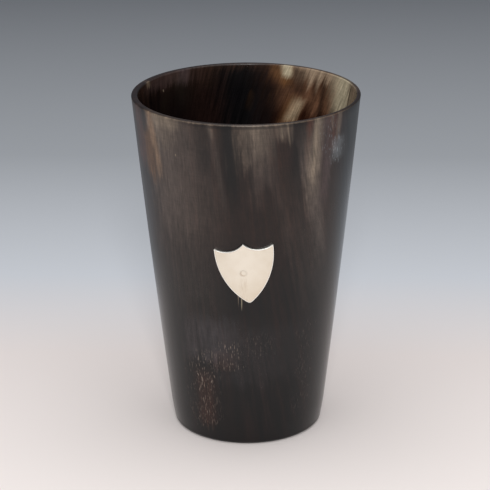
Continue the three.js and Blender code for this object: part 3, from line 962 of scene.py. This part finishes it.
def bent_shield():
    """Mesh of the silver plate: front, rounded edge, side, back and the pin's countersunk hole."""
    shield = bpy.context.scene.beaker_shield
    pin = bpy.context.scene.beaker_pin
    count = OUTLINE_POINTS
    outline, normals = shield_outline(count)
    outline = outline + (shield.off_pin, 0)
    hole = pin.radius + pin.clearance
    mouth = hole + pin.head_flare

    # The filed bevel stays within the edge's own curve and narrows slowly towards the corners, so
    # that it never folds over itself.
    turning = np.hypot(*(np.roll(normals, -1, 0) - np.roll(normals, 1, 0)).T)
    runs = np.hypot(*(np.roll(outline, -1, 0) - outline).T)
    limits = np.minimum(shield.bevel, 0.5 * (runs + np.roll(runs, 1)) / turning)
    along = np.cumsum(runs)
    gaps = np.abs(along[:, None] - along)
    gaps = np.minimum(gaps, along[-1] - gaps)
    bevel = (limits + BEVEL_GROWTH * gaps).min(axis=1)[:, None]

    # Rings of points, each with its distance off the horn's side of the sheet: from the hole out
    # over the front, down the bevel and in over the back. They lie closer towards the edge.
    top = shield.thickness
    face = outline - normals * bevel
    toward = face / np.hypot(*face.T)[:, None]
    rings = [(toward * hole, top - pin.head_depth), (toward * mouth, top)]
    for share in 1 - np.linspace(1, 0, FRONT_RINGS + 2)[1:-1] ** 2:
        rings.append((toward * mouth * (1 - share) + face * share, top))
    for turn in np.linspace(0, math.pi / 2, BEVEL_STEPS + 1):
        inset = bevel * (1 - math.sin(turn))
        sunk = bevel[:, 0] * (1 - math.cos(turn))
        rings.append((outline - normals * inset, top - sunk))
    toward = outline / np.hypot(*outline.T)[:, None]
    for share in np.linspace(1, 0, BACK_RINGS):
        rings.append((toward * hole * (1 - share) + outline * share, 0.0))

    cosine, sine = math.cos(shield.tilt), math.sin(shield.tilt)
    tilt = np.array([(cosine, sine), (-sine, cosine)])
    places = []
    edge = []
    for points, out in rings:
        heights = np.broadcast_to(out, count) + shield.bedding
        places += [bend_on_wall(x, y, h) for (x, y), h in zip(points @ tilt, heights)]
        nearest = np.linalg.norm(points[:, None] - outline, axis=2).min(axis=1)
        edge += list(np.clip(1 - nearest / EDGE_REACH, 0, 1))
    faces = []
    for ring in range(len(rings)):
        after = (ring + 1) % len(rings)
        for i in range(count):
            j = (i + 1) % count
            corners = ((ring, i), (after, i), (after, j), (ring, j))
            faces.append([row * count + place for row, place in corners])
    mesh = bpy.data.meshes.new("shield_plate")
    mesh.from_pydata(places, [], faces)
    mesh.attributes.new(EDGE, "FLOAT", "POINT").data.foreach_set("value", edge)
    mesh.polygons.foreach_set("use_smooth", [True] * len(faces))
    mesh.set_sharp_from_angle(angle=CRISP_ANGLE)
    return mesh


def dome(radius, base, rise, start, end, count):
    """Points of a low dome from its edge to the axis, or back."""
    turns = np.radians(np.linspace(start, end, count + 1))
    return [(radius * math.cos(a), base + rise * math.sin(a)) for a in turns]


def wall_along_pin():
    """Length of the pin's way through the wall."""
    wall = bpy.context.scene.beaker_wall
    height = bpy.context.scene.beaker_pin.height
    slope = pin_slope()

    # The bore is wider or narrower where the pin comes out, so each try starts from the last.
    through = wall.wall_at_rim
    for _ in range(6):
        inner = bore_radius(height + through * math.sin(slope))
        through = (outer_radius(height) - inner) / math.cos(slope)
    return through


def set_in_wall(piece):
    """Turns and moves a pin that was spun about Z so that it stands out of the wall."""
    height = bpy.context.scene.beaker_pin.height
    turn = Matrix.Rotation(math.pi / 2 + pin_slope(), 4, "X")
    piece.data.transform(Matrix.Translation((0, -outer_radius(height), height)) @ turn)


class BEAKER_OT_wall(bpy.types.Operator):
    """Turns the horn wall, grooves it inside the foot and drills it for the pin"""

    bl_idname = "beaker.wall"
    bl_label = "Horn Wall"

    def execute(self, context):
        wall = context.scene.beaker_wall
        base = context.scene.beaker_base
        pin = context.scene.beaker_pin
        disc_top = base.underside + base.thickness
        foot, lip = wall.foot_corner, wall.lip_outside
        foot_in, lip_in = wall.foot_inside, wall.lip_inside
        tuck = np.linspace(foot, wall.tuck_height, 11)[1:]
        taper = np.linspace(wall.tuck_height, wall.height - lip, 41)[1:-1]
        outside = [
            *round_corner(outer_radius(foot) - foot, foot, foot, -90, 0, 12),
            *[(outer_radius(z), z) for z in (*tuck, *taper)],
            *round_corner(wall.rim_radius - lip, wall.height - lip, lip, 0, 90, 8),
        ]
        lip_r, lip_z = bore_radius(wall.height) + lip_in, wall.height - lip_in
        bore = [
            *round_corner(lip_r, lip_z, lip_in, 90, 180, 8),
            *[(bore_radius(z), z) for z in np.linspace(lip_z, disc_top, 41)[1:-1]],
            *reversed(tongue_profile(base.clearance)),
            *round_corner(bore_radius(foot_in) + foot_in, foot_in, foot_in, 180, 270, 6),
        ]
        sizes = {
            "Segments": 288,
            "Closed Profile": True,
            "Height": wall.height,
            "Shift From": disc_top,
            "Bore Shift": wall.bore_shift,
            "Ripple": wall.ripple,
        }
        in_bore = [0.0] * len(outside) + [1.0] * len(bore)
        piece = turned("horn_wall", outside + bore, horn_material(), sizes, in_bore)

        # The drill reaches well past the wall on both sides.
        hole = pin.radius + pin.clearance
        inner, outer = -2 * wall_along_pin(), 2 * MM
        bar = [(0, inner), (hole, inner), (hole, outer), (0, outer)]
        drill = turned("drill", bar, piece.data.materials[0], {"Segments": 48})
        set_in_wall(drill)
        cut = piece.modifiers.new("Drill", "BOOLEAN")
        cut.operation = "DIFFERENCE"
        cut.solver = "EXACT"
        cut.object = drill
        apply(piece, cut)
        bpy.data.objects.remove(drill)
        seat(piece, "horn_body")
        return {"FINISHED"}


class BEAKER_OT_base(bpy.types.Operator):
    """Turns the base disc, with hollow faces and a bevelled tongue"""

    bl_idname = "beaker.base"
    bl_label = "Base Disc"

    def execute(self, context):
        base = context.scene.beaker_base
        edge = tongue_profile(0)
        shares = np.linspace(0, 1, 25)[:-1]
        (low_r, low_z), (high_r, high_z) = edge[0], edge[-1]
        underside = [(low_r * s, low_z + base.hollow * (1 - s**2)) for s in shares]
        top = [(high_r * s, high_z - base.hollow * (1 - s**2)) for s in shares[::-1]]
        profile = underside + edge + top
        piece = turned("horn_base", profile, base_material(), {"Segments": 160})
        seat(piece, "base_disc")
        return {"FINISHED"}


class BEAKER_OT_silver(bpy.types.Operator):
    """Bends the silver shield round the wall and rivets it with its pin"""

    bl_idname = "beaker.silver"
    bl_label = "Shield and Pin"

    def execute(self, context):
        shield = context.scene.beaker_shield
        pin = context.scene.beaker_pin
        silver = silver_material()
        plate = bpy.data.objects.new("shield_plate", bent_shield())
        plate.data.materials.append(silver)
        context.scene.collection.objects.link(plate)
        seat(plate, "silver_shield")

        # The flat under the hammered end clears the bore's curve.
        front = shield.bedding + shield.thickness
        burr = pin.radius + pin.burr_flare
        clear = pin.clearance + burr**2 / (2 * bore_radius(pin.height))
        burr_top = -wall_along_pin() - clear
        profile = [
            *dome(burr, burr_top, pin.burr_height, -90, 0, 10),
            (pin.radius, burr_top),
            (pin.radius, front - pin.head_depth),
            *dome(pin.radius + pin.head_flare, front, pin.head_crown, 0, 90, 10),
        ]
        rivet = turned("shield_rivet", profile, silver, {"Segments": 64})
        set_in_wall(rivet)
        seat(rivet, "shield_pin")
        return {"FINISHED"}


class BEAKER_OT_stage(bpy.types.Operator):
    """Lays the floor and sets the light and the camera"""

    bl_idname = "beaker.stage"
    bl_label = "Stage"

    def execute(self, context):
        stage = context.scene.beaker_stage
        scene = context.scene
        sheet = bpy.data.meshes.new("floor")
        corners = [(x * FLOOR_HALF, y * FLOOR_HALF, 0) for x, y in SQUARE]
        sheet.from_pydata(corners, [], [(0, 1, 2, 3)])
        sheet.materials.append(graded_floor())
        floor = bpy.data.objects.new("floor", sheet)
        scene.collection.objects.link(floor)
        scene.world = studio_world()

        for name, place, size, energy in SOFTBOXES:
            lamp = bpy.data.lights.new(name, "AREA")
            lamp.size = size
            lamp.energy = energy
            softbox = bpy.data.objects.new(name, lamp)
            facing = Vector(place).to_track_quat("Z", "Y")
            softbox.matrix_world = Matrix.Translation(place) @ facing.to_matrix().to_4x4()
            scene.collection.objects.link(softbox)

        camera = bpy.data.cameras.new("camera")
        camera.lens = stage.focal
        camera.clip_start = 0.01
        camera.clip_end = 50
        eye = bpy.data.objects.new("camera", camera)
        aim = Matrix.Translation((stage.aim_side, stage.aim_back, stage.aim_height))
        swung = Matrix.Rotation(stage.azimuth, 4, "Z")
        raised = Matrix.Rotation(math.pi / 2 - stage.elevation, 4, "X")
        back_off = Matrix.Translation((0, 0, stage.distance))
        rolled = Matrix.Rotation(-stage.roll, 4, "Z")
        eye.matrix_world = swung @ aim @ raised @ back_off @ rolled
        scene.collection.objects.link(eye)
        scene.camera = eye
        scene.view_settings.view_transform = "Standard"
        return {"FINISHED"}


class VIEW3D_PT_beaker(bpy.types.Panel):
    """Lists what builds the beaker"""

    bl_label = "Horn Beaker"
    bl_space_type = "VIEW_3D"
    bl_region_type = "UI"
    bl_category = "Beaker"

    def draw(self, context):
        for operator in OPERATORS:
            self.layout.operator(operator.bl_idname)


OPERATORS = (BEAKER_OT_stage, BEAKER_OT_wall, BEAKER_OT_base, BEAKER_OT_silver)
SETTINGS = {
    "beaker_wall": WallSettings,
    "beaker_base": BaseSettings,
    "beaker_shield": ShieldSettings,
    "beaker_pin": PinSettings,
    "beaker_horn": HornSettings,
    "beaker_silver": SilverSettings,
    "beaker_stage": StageSettings,
}


def register():
    """Registers the settings, the operators and the panel."""
    for kind in (*SETTINGS.values(), *OPERATORS, VIEW3D_PT_beaker):
        bpy.utils.register_class(kind)
    for name, kind in SETTINGS.items():
        setattr(bpy.types.Scene, name, bpy.props.PointerProperty(type=kind))


def unregister():
    """Undoes what register does."""
    for name in SETTINGS:
        delattr(bpy.types.Scene, name)
    for kind in (VIEW3D_PT_beaker, *OPERATORS, *SETTINGS.values()):
        bpy.utils.unregister_class(kind)


def main():
    """Builds the beaker and its stage."""
    register()
    bpy.ops.beaker.stage()
    bpy.ops.beaker.wall()
    bpy.ops.beaker.base()
    bpy.ops.beaker.silver()


if __name__ == "__main__":
    main()
